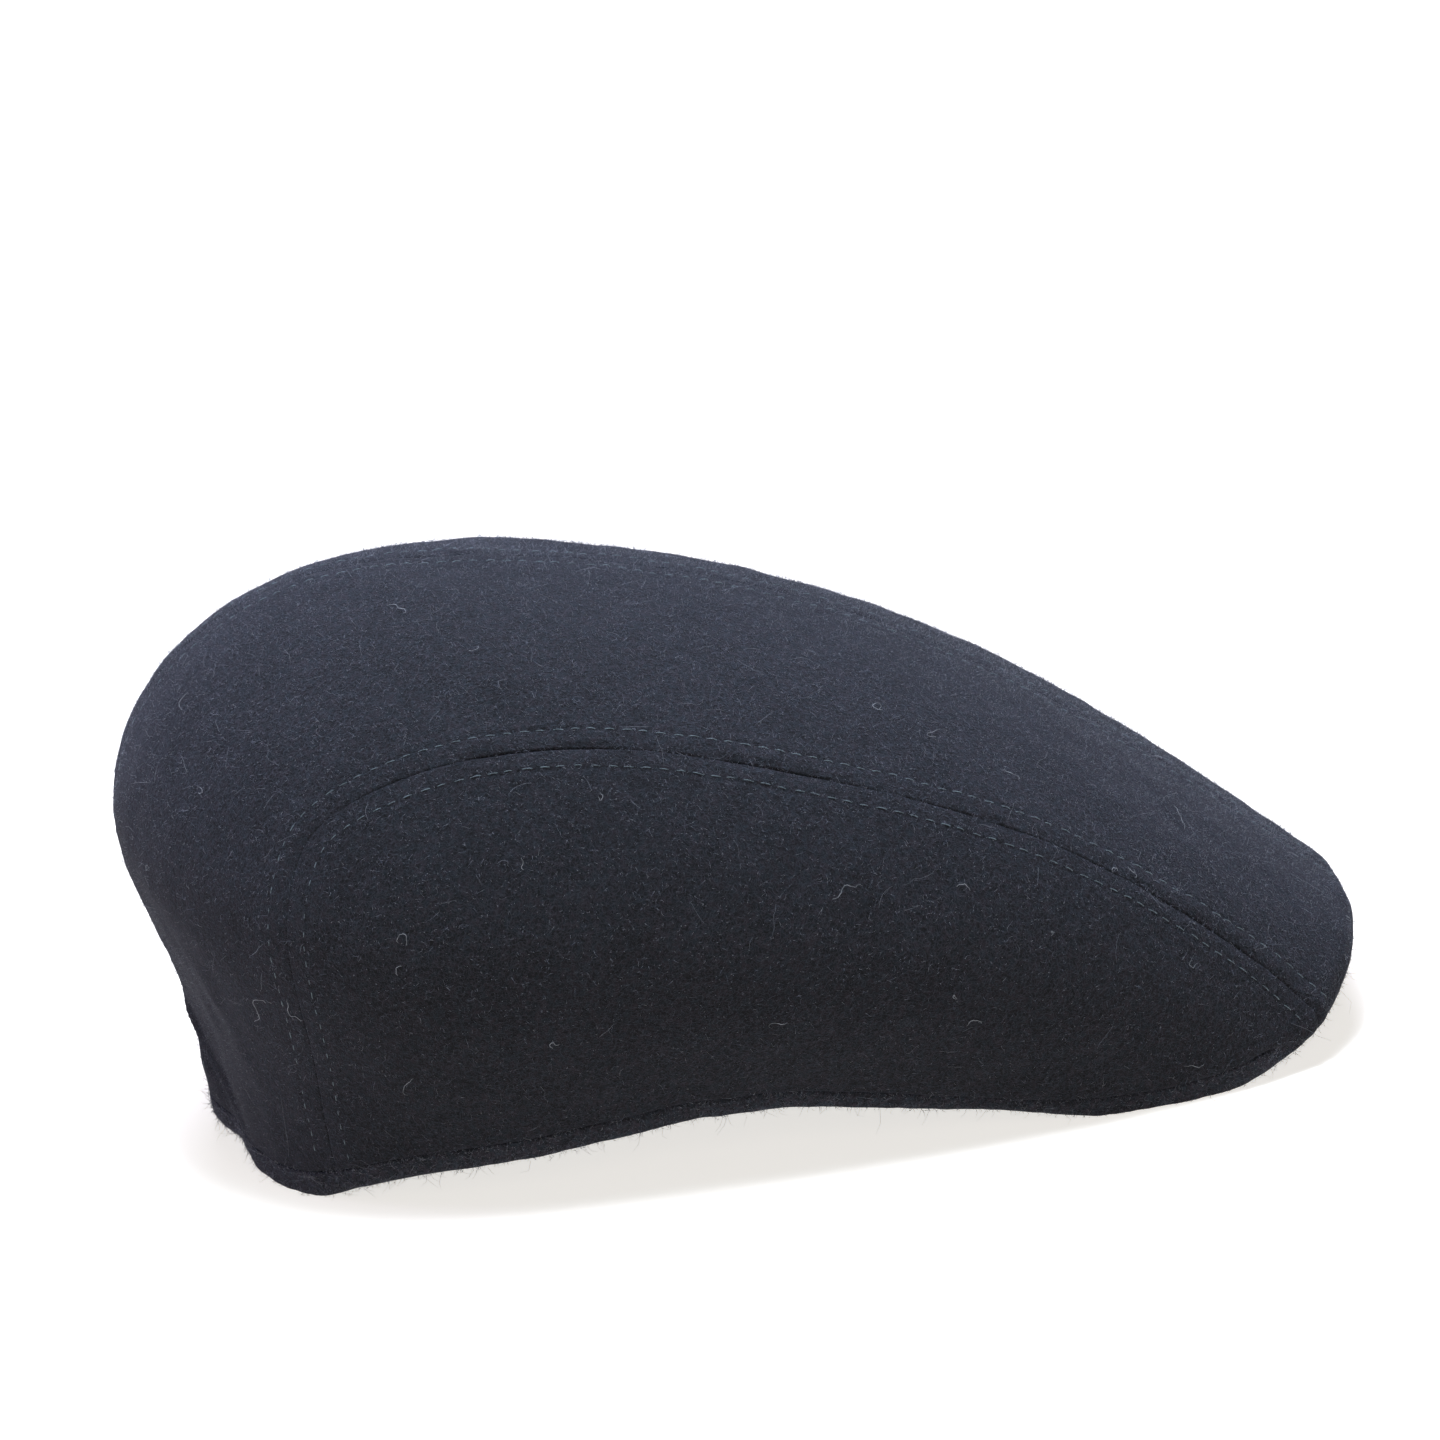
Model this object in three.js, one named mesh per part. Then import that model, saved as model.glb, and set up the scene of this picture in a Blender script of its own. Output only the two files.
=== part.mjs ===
// A flat cap of navy felted wool: two top halves, two side panels, a stiff peak and a turned hem.
// Millimetres, +X towards the front of the peak, +Z up, and the table that it rests on at z = 0.
import * as THREE from "three";

// Outer sizes of the cap as it rests
const capLength = 284;
const capWidth = 178;
const capHeight = 130;
const lowerWidth = 166;

// Cloth, peak and hem
const clothThickness = 2.2;
const peakThickness = 4;
const peakLip = 4.6;
const peakDepth = 56;
const hemHeight = 5.4;
const hemTurn = 11;
const templeStrip = 9;

// How quickly the peak's plate narrows from its depth at the front to the strip at the temple
const plateTaper = 1.2;

// Gap at every seam, between the peak and the hem at the temple, and under the cloth over both
const seamGap = 0.3;
const templeGap = 0.8;
const peakClearance = 0.6;

// How much steeper than the cloth the peak's lip and the hem turn down
const lipDroop = 1;

// Rounding of the folded edges at the peak's lip and at the hem, and how much of their lowest
// stretches the cap's weight presses flat on the table
const foldRounding = 1.3;
const settle = 1.15;

// Plan of the crown from its top (first row) to the lower edge of the cloth (last row), one row for
// each level. back and front are shares of capLength from the middle, side is a share of half
// capWidth, and the two pinches draw the plan in towards that end. A smooth curve follows each
// column and passes a little inside it.
const crownPlan = [
  { back: -0.158, front: -0.158, side: 0.000, backPinch: 0.20, frontPinch: 0.30 },
  { back: -0.232, front: -0.077, side: 0.235, backPinch: 0.20, frontPinch: 0.36 },
  { back: -0.304, front: 0.007, side: 0.470, backPinch: 0.23, frontPinch: 0.41 },
  { back: -0.375, front: 0.092, side: 0.683, backPinch: 0.25, frontPinch: 0.39 },
  { back: -0.440, front: 0.176, side: 0.865, backPinch: 0.27, frontPinch: 0.24 },
  { back: -0.485, front: 0.261, side: 0.993, backPinch: 0.23, frontPinch: 0.06 },
  { back: -0.504, front: 0.342, side: 1.057, backPinch: 0.17, frontPinch: -0.08 },
  { back: -0.458, front: 0.423, side: 1.035, backPinch: 0.06, frontPinch: -0.10 },
  { back: -0.455, front: 0.500, side: 0.939, backPinch: 0.00, frontPinch: 0.00 },
];

// Heights of the crown at its back, front and side, as shares of capHeight, one row for each level
const crownHeights = [
  { back: 0.984, front: 0.984, side: 0.984 },
  { back: 1.002, front: 0.952, side: 0.971 },
  { back: 1.000, front: 0.899, side: 0.924 },
  { back: 0.954, front: 0.829, side: 0.837 },
  { back: 0.865, front: 0.735, side: 0.720 },
  { back: 0.732, front: 0.618, side: 0.585 },
  { back: 0.550, front: 0.488, side: 0.423 },
  { back: 0.305, front: 0.337, side: 0.262 },
  { back: 0.070, front: 0.192, side: 0.123 },
];

// How early on the way down the plan takes the outline of the lower edge, how much earlier that is at
// the front than at the back, and how late the heights take the waves of the lower edge
const planOnset = 1.4;
const planLead = 0.9;
const waveOnset = 6;

// Lower edge of the cloth from the front of the peak (first row) round one side to the back, at even
// steps. along is a share of capLength from the middle, across a share of half lowerWidth, and
// height a share of capHeight.
const edgeStations = [
  { along: 0.500, across: 0.00, height: 0.195 },
  { along: 0.496, across: 0.29, height: 0.189 },
  { along: 0.475, across: 0.54, height: 0.150 },
  { along: 0.433, across: 0.75, height: 0.076 },
  { along: 0.354, across: 0.86, height: 0.032 },
  { along: 0.243, across: 0.91, height: 0.028 },
  { along: 0.100, across: 0.94, height: 0.103 },
  { along: -0.042, across: 0.96, height: 0.160 },
  { along: -0.187, across: 1.00, height: 0.117 },
  { along: -0.303, across: 0.90, height: 0.102 },
  { along: -0.386, across: 0.68, height: 0.024 },
  { along: -0.438, across: 0.34, height: 0.066 },
  { along: -0.454, across: 0.00, height: 0.058 },
];

// Side seam from the back corner of the hem (first row) over the side to the peak's edge (last row).
// angle is in degrees from the front, and level runs from 0 at the top to 1 at the lower edge.
const sideSeam = [
  { angle: 144, level: 1.000 },
  { angle: 143.5, level: 0.930 },
  { angle: 141, level: 0.865 },
  { angle: 137, level: 0.780 },
  { angle: 133, level: 0.685 },
  { angle: 130.5, level: 0.608 },
  { angle: 124.5, level: 0.550 },
  { angle: 114, level: 0.485 },
  { angle: 100, level: 0.445 },
  { angle: 86, level: 0.441 },
  { angle: 72, level: 0.478 },
  { angle: 60, level: 0.550 },
  { angle: 51, level: 0.622 },
  { angle: 46, level: 0.685 },
  { angle: 43, level: 0.745 },
  { angle: 41.5, level: 0.810 },
  { angle: 40.8, level: 0.870 },
  { angle: 40.5, level: 0.935 },
  { angle: 42, level: 1.000 },
];

// Where a side panel ends in its blunt tip: share of the seam, and degrees behind the front corner
const tipShare = 0.992;
const tipAngle = 0.6;

// Dents of the soft cloth. angle in degrees from the front, level as above, spread and reach their
// half sizes in degrees and in level, and depth a share of dentDepth.
const dentDepth = 4;
const dents = [
  { angle: 168, level: 1.00, spread: 8, reach: 0.16, depth: 0.8 },
];

// Facets along a panel and from the crown's centre to its edge, over the side panel's back end, over
// its edge in front of the temple, from the peak's inner border to its lip
const panelFacets = 30;
const topFacets = 8;
const sideFacets = 9;
const templeFacets = 11;
const peakFacets = 6;

// Steps over which the slope of the cloth is measured: inside the disc, at its rim, and in degrees
// along the rim
const discStep = 0.004;
const edgeStep = 0.02;
const angleStep = 0.5;

const radians = Math.PI / 180;

// Value at a place along a row of control values, on an even cubic B-spline that keeps its two ends
function follow(values, place) {
  const last = values.length - 1;
  const before = 2 * values[0] - values[1];
  const after = 2 * values[last] - values[last - 1];
  const value = (i) => (i < 0 ? before : i > last ? after : values[i]);
  const i = Math.min(last - 1, Math.max(0, Math.floor(place)));
  const f = place - i;
  const weights = [(1 - f) ** 3, 3 * f ** 3 - 6 * f ** 2 + 4, -3 * f ** 3 + 3 * f ** 2 + 3 * f + 1, f ** 3];
  return weights.reduce((sum, weight, k) => sum + weight * value(i - 1 + k), 0) / 6;
}

// A column of a table, and the same column mirrored about its first row
const column = (rows, name) => rows.map((row) => row[name]);
const mirrored = (head, tail) => [...head.slice(1).reverse(), ...tail];

const levelSteps = crownPlan.length - 1;
const centreAlong = mirrored(column(crownPlan, "back"), column(crownPlan, "front"));
const centreHeight = mirrored(column(crownHeights, "back"), column(crownHeights, "front"));
const sideAcross = mirrored(column(crownPlan, "side").map((v) => -v), column(crownPlan, "side"));
const sideHeight = mirrored(column(crownHeights, "side"), column(crownHeights, "side"));
const endPinch = mirrored(column(crownPlan, "backPinch"), column(crownPlan, "frontPinch"));

// Reach and heights of the hoop of cloth at a level
function hoop(level) {
  const ahead = levelSteps * (1 + level);
  const behind = levelSteps * (1 - level);
  return {
    front: follow(centreAlong, ahead) * capLength,
    back: follow(centreAlong, behind) * capLength,
    side: follow(sideAcross, ahead) * capWidth / 2,
    frontPinch: follow(endPinch, ahead),
    backPinch: follow(endPinch, behind),
    frontHeight: follow(centreHeight, ahead) * capHeight,
    backHeight: follow(centreHeight, behind) * capHeight,
    sideHeight: follow(sideHeight, ahead) * capHeight,
  };
}

const stationSteps = edgeStations.length - 1;
const edgeAlong = roundTrip("along", 1);
const edgeAcross = roundTrip("across", -1);
const edgeHeight = roundTrip("height", 1);

// A column of the edge table round the whole edge, with two steps more at each end so that the
// curve closes smoothly; the far side has the sign given
function roundTrip(name, farSign) {
  const near = column(edgeStations, name);
  const far = near.slice(1, -1).reverse().map((v) => v * farSign);
  const ring = [...near, ...far];
  return [...ring.slice(-2), ...ring, ...ring.slice(0, 3)];
}

// Lower edge of the cloth at an angle from the front, positive angles on the near (-Y) side
function edge(angle) {
  const turn = ((angle / 180) % 2 + 2) % 2;
  const place = turn * stationSteps + 2;
  return {
    along: follow(edgeAlong, place) * capLength,
    across: follow(edgeAcross, place) * lowerWidth / 2,
    height: follow(edgeHeight, place) * capHeight,
  };
}

// Height of a hoop at an angle: smooth from its front height over its side height to its back height
function hoopHeight(ring, cosine) {
  const tilt = (ring.frontHeight - ring.backHeight) / 2;
  const ridge = (ring.frontHeight + ring.backHeight) / 2 - ring.sideHeight;
  return ring.sideHeight + tilt * cosine + ridge * cosine ** 2;
}

// Share by which a hoop is drawn in at an angle: nothing at the side, its pinches at the two ends
function pinchAt(ring, cosine) {
  const even = (ring.frontPinch + ring.backPinch) / 2;
  const odd = (ring.frontPinch - ring.backPinch) / 2;
  return even * cosine ** 2 + odd * cosine ** 3;
}

const lastHoop = hoop(1);
const lastMiddle = (lastHoop.front + lastHoop.back) / 2;
const lastReach = (lastHoop.front - lastHoop.back) / 2;

// Inward depth of the dents at an angle and level
function dentAt(angle, level) {
  return dents.reduce((sum, row) => {
    const aside = (Math.abs(angle) - row.angle) / row.spread;
    const away = (level - row.level) / row.reach;
    return sum + row.depth * dentDepth * Math.exp(-(aside ** 2) - away ** 2);
  }, 0);
}

// Outer face of the cloth at an angle and level. The plan is an ellipse near the top and takes the
// outline of the lower edge on its way down.
function outer(angle, level) {
  const ring = hoop(level);
  const rim = edge(angle);
  const cosine = Math.cos(angle * radians);
  const share = level ** (planOnset - planLead * cosine);
  const sine = Math.sin(angle * radians) * (1 - pinchAt(ring, cosine));
  const rimCosine = (rim.along - lastMiddle) / lastReach;
  const rimSine = rim.across / lastHoop.side;
  const planCosine = cosine + (rimCosine - cosine) * share;
  const planSine = sine + (rimSine - sine) * share;
  const drop = (rim.height - hoopHeight(lastHoop, cosine)) * level ** waveOnset;
  const pull = 1 - dentAt(angle, level) / lastReach;
  return new THREE.Vector3(
    (ring.front + ring.back) / 2 + planCosine * pull * (ring.front - ring.back) / 2,
    -planSine * pull * ring.side,
    hoopHeight(ring, cosine) + drop,
  );
}

// The same point from a place in the flat disc whose rim is the lower edge: along is level times
// the angle's cosine, across level times its sine
const fromDisc = (along, across) =>
  outer(Math.atan2(across, along) / radians, Math.min(1, Math.hypot(along, across)));

// A point at a depth below the outer face
function below(along, across, depth) {
  const size = Math.hypot(along, across);
  const shrink = size > 1 - discStep ? (1 - discStep) / size : 1;
  const a = along * shrink;
  const c = across * shrink;
  const ahead = fromDisc(a + discStep, c).sub(fromDisc(a - discStep, c));
  const aside = fromDisc(a, c + discStep).sub(fromDisc(a, c - discStep));
  const inward = ahead.cross(aside).normalize();
  return fromDisc(along, across).addScaledVector(inward, depth);
}

// Closed body of a shape from its points and its faces
function body(points, faces) {
  const geometry = new THREE.BufferGeometry();
  geometry.setAttribute("position", new THREE.Float32BufferAttribute(points.flatMap((p) => p.toArray()), 3));
  geometry.setIndex(faces);
  geometry.computeVertexNormals();
  return geometry;
}

// Two triangles of a face with four corners
const quad = (a, b, c, d) => [a, b, c, a, c, d];

// Sheet of cloth between its outer grid of points and the inner one, with a wall round its border
function sheet(upper, lower) {
  const rows = upper.length;
  const columns = upper[0].length;
  const top = (r, c) => r * columns + c;
  const under = (r, c) => rows * columns + top(r, c);
  const faces = [];
  for (let r = 0; r < rows - 1; r++) {
    for (let c = 0; c < columns - 1; c++) {
      faces.push(...quad(top(r, c), top(r, c + 1), top(r + 1, c + 1), top(r + 1, c)));
      faces.push(...quad(under(r, c), under(r + 1, c), under(r + 1, c + 1), under(r, c + 1)));
    }
  }
  const wall = (r, c, r2, c2) => faces.push(...quad(top(r, c), top(r2, c2), under(r2, c2), under(r, c)));
  for (let c = 0; c < columns - 1; c++) {
    wall(0, c + 1, 0, c);
    wall(rows - 1, c, rows - 1, c + 1);
  }
  for (let r = 0; r < rows - 1; r++) {
    wall(r, 0, r + 1, 0);
    wall(r + 1, columns - 1, r, columns - 1);
  }
  return body([...upper.flat(), ...lower.flat()], faces);
}

// Closed body through sections of equal length, whose ends are faced with the triangles given
function loft(sections, capFaces) {
  const size = sections[0].length;
  const end = (sections.length - 1) * size;
  const faces = [];
  for (let start = 0; start < end; start += size) {
    for (let k = 0; k < size; k++) {
      const next = (k + 1) % size;
      faces.push(...quad(start + k, start + size + k, start + size + next, start + next));
    }
  }
  for (const [a, b, c] of capFaces) {
    faces.push(a, b, c);
    faces.push(end + a, end + c, end + b);
  }
  return body(sections.flat(), faces);
}

// Side seam at a share of its length, as a place in the disc
const seamAngle = column(sideSeam, "angle");
const seamLevel = column(sideSeam, "level");
function seam(share) {
  const place = share * (sideSeam.length - 1);
  const angle = follow(seamAngle, place) * radians;
  const level = follow(seamLevel, place);
  return new THREE.Vector2(level * Math.cos(angle), level * Math.sin(angle));
}

// Lower edge between two angles at a share of the way, as a place in the disc
const rim = (from, to) => (share) => {
  const angle = (from + (to - from) * share) * radians;
  return new THREE.Vector2(Math.cos(angle), Math.sin(angle));
};

// Smooth patch of disc places between four border curves that meet at the corners: low and high run
// along, first and last run across
function patch(along, across, low, high, first, last) {
  const mix = (a, b, share) => a.clone().lerp(b, share);
  const grid = [];
  for (let i = 0; i <= along; i++) {
    const u = i / along;
    const row = [];
    for (let j = 0; j <= across; j++) {
      const v = j / across;
      const corners = mix(mix(low(0), low(1), u), mix(high(0), high(1), u), v);
      row.push(mix(low(u), high(u), v).add(mix(first(v), last(v), u)).sub(corners));
    }
    grid.push(row);
  }
  return grid;
}

// Grid drawn in from its border by half the seam gap
function drawnIn(grid) {
  const lastRow = grid.length - 1;
  const lastColumn = grid[0].length - 1;
  const towards = (p, q) => q.clone().sub(p).setLength(seamGap / 2);
  return grid.map((row, r) => row.map((p, c) => {
    const moved = p.clone();
    if (r === 0) moved.add(towards(p, grid[1][c]));
    if (r === lastRow) moved.add(towards(p, grid[r - 1][c]));
    if (c === 0) moved.add(towards(p, row[1]));
    if (c === lastColumn) moved.add(towards(p, row[c - 1]));
    return moved;
  }));
}

// Panel of cloth over a patch of the disc
function panel(places) {
  const upper = drawnIn(places.map((row) => row.map((p) => below(p.x, p.y, 0))));
  const lower = drawnIn(places.map((row) => row.map((p) => below(p.x, p.y, clothThickness))));
  return sheet(upper, lower);
}

const backCorner = sideSeam[0].angle;
const frontCorner = sideSeam[sideSeam.length - 1].angle;
const centreLine = (share) => new THREE.Vector2(2 * share - 1, 0);

// Half of the crown's top, from the centre seam out to the side seam
function topPanel() {
  const first = rim(180, backCorner);
  const last = rim(0, frontCorner);
  return panel(patch(panelFacets, topFacets, centreLine, seam, first, last));
}

// Side panel: its back end is the upright stretch of the seam, its top the rest of it, and its tip at
// the front is blunt
function sidePanel() {
  const turn = sideFacets / panelFacets;
  const low = rim(backCorner, frontCorner + tipAngle);
  const top = (share) => seam(turn + (tipShare - turn) * share);
  const first = (share) => seam(turn * (1 - share));
  const last = (share) => top(1).lerp(low(1), share);
  return panel(patch(panelFacets - sideFacets, sideFacets, top, low, first, last));
}

// Angles of the facet corners along the lower edge, from the front to the back
const spread = (from, to, count) => Array.from({ length: count }, (_, i) => from + (to - from) * i / count);
const edgeAngles = [
  ...spread(0, frontCorner, topFacets),
  ...spread(frontCorner, backCorner, panelFacets - sideFacets),
  ...spread(backCorner, 180, topFacets),
];
const templeAngle = edgeAngles[topFacets + templeFacets];

// Point at the lower edge of the cloth at an angle: drop runs down from the edge, or up along the
// cloth where it is negative, and depth inwards from the outer face. The lowest points are pressed
// flat on the table.
function atEdge(angle, drop, depth) {
  const near = below(...discPlace(angle, 1 - edgeStep), 0);
  const down = below(...discPlace(angle, 1), 0).sub(near);
  const perLevel = down.length() / edgeStep;
  if (drop < 0) return below(...discPlace(angle, 1 + drop / perLevel), depth);
  const way = down.normalize().add(new THREE.Vector3(0, 0, -lipDroop)).normalize();
  const point = below(...discPlace(angle, 1), depth).addScaledVector(way, drop);
  const pressed = THREE.MathUtils.clamp((3 * settle - point.z) / (2 * settle), 0, 1);
  point.z = Math.max(0, point.z - settle * pressed);
  return point;
}

const discPlace = (angle, level) => [level * Math.cos(angle * radians), level * Math.sin(angle * radians)];

// Temple's angle, moved towards the front or the back by half the gap there
function besideTemple(way) {
  const length = outer(templeAngle + angleStep, 1).distanceTo(outer(templeAngle, 1));
  return templeAngle + way * angleStep * (templeGap / 2) / length;
}

// Depth of the peak's plate under the cloth at an angle: full at the front, a strip at the temple
function plateReach(angle) {
  const share = Math.cos(90 * angle / templeAngle * radians);
  return templeStrip + (peakDepth - templeStrip) * Math.max(0, share) ** plateTaper;
}

// Peak: a stiff plate that lies under the front of the panels, with a lip below their edge
function peak() {
  const top = clothThickness + peakClearance;
  const under = top + peakThickness;
  const lipEnd = seamGap + peakLip;
  const halfAngles = edgeAngles.filter((angle) => angle < templeAngle);
  const angles = [...halfAngles, besideTemple(-1)];
  const all = [...angles.slice(1).reverse().map((angle) => -angle), ...angles];
  const sections = all.map((angle) => {
    const reach = plateReach(angle);
    const ways = Array.from({ length: peakFacets }, (_, i) => -reach * (1 - i / peakFacets));
    return [
      ...ways.map((drop) => atEdge(angle, drop, top)),
      atEdge(angle, seamGap, top),
      atEdge(angle, seamGap, 0),
      atEdge(angle, lipEnd - foldRounding, 0),
      atEdge(angle, lipEnd, foldRounding),
      atEdge(angle, lipEnd, under - foldRounding),
      atEdge(angle, lipEnd - foldRounding, under),
      ...ways.slice().reverse().map((drop) => atEdge(angle, drop, under)),
    ];
  });
  return loft(sections, capOf(sections[0]));
}

// Hem: the cloth's lower edge turned inside, round the sides and back of the opening
function turnedHem() {
  const inner = clothThickness + peakClearance;
  const full = inner + clothThickness;
  const end = seamGap + hemHeight;
  const back = edgeAngles.filter((angle) => angle > templeAngle);
  const angles = [besideTemple(1), ...back];
  const all = [...angles, 180, ...angles.slice().reverse().map((angle) => 360 - angle)];
  const sections = all.map((angle) => [
    atEdge(angle, -hemTurn, inner),
    atEdge(angle, -hemTurn / 2, inner),
    atEdge(angle, seamGap, inner),
    atEdge(angle, seamGap, 0),
    atEdge(angle, end / 2, 0),
    atEdge(angle, end - foldRounding, 0),
    atEdge(angle, end, foldRounding),
    atEdge(angle, end, full - foldRounding),
    atEdge(angle, end - foldRounding, full),
    atEdge(angle, 0, full),
    atEdge(angle, -hemTurn / 2, full),
    atEdge(angle, -hemTurn, full),
  ]);
  return loft(sections, capOf(sections[0]));
}

// Triangles that close a section, found in the plane that it lies in
function capOf(section) {
  const origin = section[0];
  const normal = new THREE.Vector3();
  section.forEach((p, i) => {
    const next = section[(i + 1) % section.length];
    normal.add(p.clone().sub(origin).cross(next.clone().sub(origin)));
  });
  normal.normalize();
  const u = section[1].clone().sub(origin).projectOnPlane(normal).normalize();
  const v = normal.clone().cross(u);
  const flat = section.map((p) => {
    const from = p.clone().sub(origin);
    return new THREE.Vector2(from.dot(u), from.dot(v));
  });
  return THREE.ShapeUtils.triangulateShape(flat, []);
}

// The same body on the far side of the cap, with its faces turned round
function farSide(geometry) {
  const points = geometry.getAttribute("position");
  const index = geometry.getIndex();
  const copy = new THREE.BufferGeometry();
  copy.setAttribute("position", points.clone().applyMatrix4(new THREE.Matrix4().makeScale(1, -1, 1)));
  copy.setIndex(Array.from(index.array).reverse());
  copy.computeVertexNormals();
  return copy;
}

const wool = () => new THREE.MeshStandardMaterial({ color: 0x1d2433, roughness: 0.95, metalness: 0 });
const edgeWool = () => new THREE.MeshStandardMaterial({ color: 0x181e2c, roughness: 0.95, metalness: 0 });

const cap = new THREE.Group();
function add(name, geometry, material) {
  const mesh = new THREE.Mesh(geometry, material);
  mesh.name = name;
  cap.add(mesh);
}

const rightTop = topPanel();
const rightSide = sidePanel();
add("top_panel_right", rightTop, wool());
add("top_panel_left", farSide(rightTop), wool());
add("side_panel_right", rightSide, wool());
add("side_panel_left", farSide(rightSide), wool());
add("peak", peak(), edgeWool());
add("turned_hem", turnedHem(), edgeWool());

// The origin lies under the middle of the cap's length
const extent = new THREE.Box3().setFromObject(cap);
cap.position.x = -(extent.min.x + extent.max.x) / 2;

export default cap;
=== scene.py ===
import bpy
import numpy as np
from mathutils import Matrix, Vector


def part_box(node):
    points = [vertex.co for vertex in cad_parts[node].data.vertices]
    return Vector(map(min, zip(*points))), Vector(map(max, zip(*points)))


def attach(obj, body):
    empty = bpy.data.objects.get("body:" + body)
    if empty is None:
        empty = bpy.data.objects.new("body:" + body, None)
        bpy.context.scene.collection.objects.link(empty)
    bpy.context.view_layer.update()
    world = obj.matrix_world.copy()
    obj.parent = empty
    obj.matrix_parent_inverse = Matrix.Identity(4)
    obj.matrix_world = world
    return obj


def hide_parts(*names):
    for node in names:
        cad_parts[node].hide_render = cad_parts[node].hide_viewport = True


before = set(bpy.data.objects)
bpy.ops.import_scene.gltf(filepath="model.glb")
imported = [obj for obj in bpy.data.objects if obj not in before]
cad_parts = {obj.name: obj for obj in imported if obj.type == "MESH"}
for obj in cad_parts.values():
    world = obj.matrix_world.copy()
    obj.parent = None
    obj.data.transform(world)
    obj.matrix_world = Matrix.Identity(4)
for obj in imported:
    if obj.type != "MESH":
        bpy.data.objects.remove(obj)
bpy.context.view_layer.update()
print("frame loaded:", ", ".join(sorted(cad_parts)))

mm = 0.001

# lengths in mm; angles in degrees from the front, positive on the near side; levels from 0 on top to 1 at
# the lower edge
cap = {
    "length": 284.0,
    "width": 178.0,
    "height": 130.0,
    "lowerWidth": 166.0,
    "cloth": 2.2,
    "clearance": 0.6,
    "seamGap": 0.07,
    "planOnset": 1.4,
    "planLead": 0.9,
    "waveOnset": 6.0,
    "lipDroop": 1.0,
    "settle": 1.15,
    "shift": 0.0,
    "lipLevel": 140.0,
    "overLip": 4.2,
    "overTo": (44, 53),
}

# one row for each level from the top to the lower edge: back, front, side, backPinch, frontPinch, then the
# heights at the back, front and side; places and heights are shares of the sizes above
crownRows = np.array([
    (-0.158, -0.158, 0.000, 0.20, 0.30, 0.984, 0.984, 0.984),
    (-0.232, -0.077, 0.235, 0.20, 0.36, 1.002, 0.952, 0.971),
    (-0.304, 0.007, 0.470, 0.23, 0.41, 1.000, 0.899, 0.924),
    (-0.375, 0.092, 0.683, 0.25, 0.39, 0.954, 0.829, 0.837),
    (-0.440, 0.176, 0.865, 0.27, 0.24, 0.865, 0.735, 0.720),
    (-0.485, 0.261, 0.993, 0.23, 0.06, 0.732, 0.618, 0.585),
    (-0.504, 0.342, 1.057, 0.17, -0.08, 0.550, 0.488, 0.423),
    (-0.458, 0.423, 1.035, 0.06, -0.10, 0.305, 0.337, 0.262),
    (-0.455, 0.500, 0.939, 0.00, 0.00, 0.070, 0.192, 0.123),
])

# lower edge every 15 degrees from the front to the back: along, across, height, as shares
edgeRows = np.array([
    (0.500, 0.00, 0.195), (0.496, 0.29, 0.189), (0.475, 0.54, 0.150), (0.433, 0.75, 0.076),
    (0.354, 0.86, 0.032), (0.243, 0.91, 0.028), (0.100, 0.94, 0.103), (-0.042, 0.96, 0.160),
    (-0.187, 1.00, 0.117), (-0.303, 0.90, 0.102), (-0.386, 0.68, 0.024), (-0.438, 0.34, 0.066),
    (-0.454, 0.00, 0.058),
])

# side seam from the back corner over the side to the peak's edge: angle from the front, level
seamRows = np.array([
    (144, 1.000), (143.5, 0.930), (141, 0.865), (137, 0.780), (133, 0.685), (130.5, 0.608),
    (124.5, 0.550), (114, 0.485), (100, 0.445), (86, 0.441), (72, 0.478), (60, 0.550),
    (51, 0.622), (46, 0.685), (43, 0.745), (41.5, 0.810), (40.8, 0.870), (40.5, 0.935),
    (42, 1.000),
])

# soft dents of the cloth: angle, level, half sizes in degrees and in level, depth in mm
dentRows = [(168, 1.00, 8, 0.16, 3.2)]

# folds at the back corner: height and half width in mm, then the angle and level of places along each
foldRows = [
    (1.3, 1.3, [(177, 0.895), (174.5, 0.915), (171.5, 0.942), (168, 0.965), (164, 0.983), (160, 1.0)]),
    (-1.5, 2.8, [(182, 0.925), (178, 0.94), (174.5, 0.96), (171.5, 0.98), (168.5, 1.0)]),
    (0.5, 3.0, [(156, 0.80), (155, 0.86), (154, 0.91), (153, 0.96)]),
    (-0.5, 3.0, [(161, 0.79), (160, 0.85), (158.5, 0.90), (157, 0.95)]),
]


def follow(values, place):  # even cubic B-spline through a row of shares
    place = np.asarray(place, float)
    padded = np.concatenate([[2 * values[0] - values[1]], values, [2 * values[-1] - values[-2]]])
    i = np.clip(np.floor(place), 0, len(values) - 2).astype(int)
    f = place - i
    weights = ((1 - f) ** 3, 3 * f ** 3 - 6 * f ** 2 + 4, -3 * f ** 3 + 3 * f ** 2 + 3 * f + 1, f ** 3)
    return sum(w * padded[i + k] for k, w in enumerate(weights)) / 6


def mirrored(head, tail):  # one line of values over the crown, from the back to the front
    return np.concatenate([head[:0:-1], tail])


back, front, side, backPinch, frontPinch, backHigh, frontHigh, sideHigh = crownRows.T
crownLines = {
    "along": mirrored(back, front) * cap["length"],
    "across": mirrored(-side, side) * cap["width"] / 2,
    "pinch": mirrored(backPinch, frontPinch),
    "endHeight": mirrored(backHigh, frontHigh) * cap["height"],
    "sideHeight": mirrored(sideHigh, sideHigh) * cap["height"],
}
levelSteps = len(crownRows) - 1


def roundTrip(values, farSign):  # a half's values carried on round the far side, with ends that overlap
    ring = np.concatenate([values, values[-2:0:-1] * farSign])
    return np.concatenate([ring[-2:], ring, ring[:3]])


edgeLines = [roundTrip(edgeRows[:, k], sign) for k, sign in enumerate((1, -1, 1))]


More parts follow.
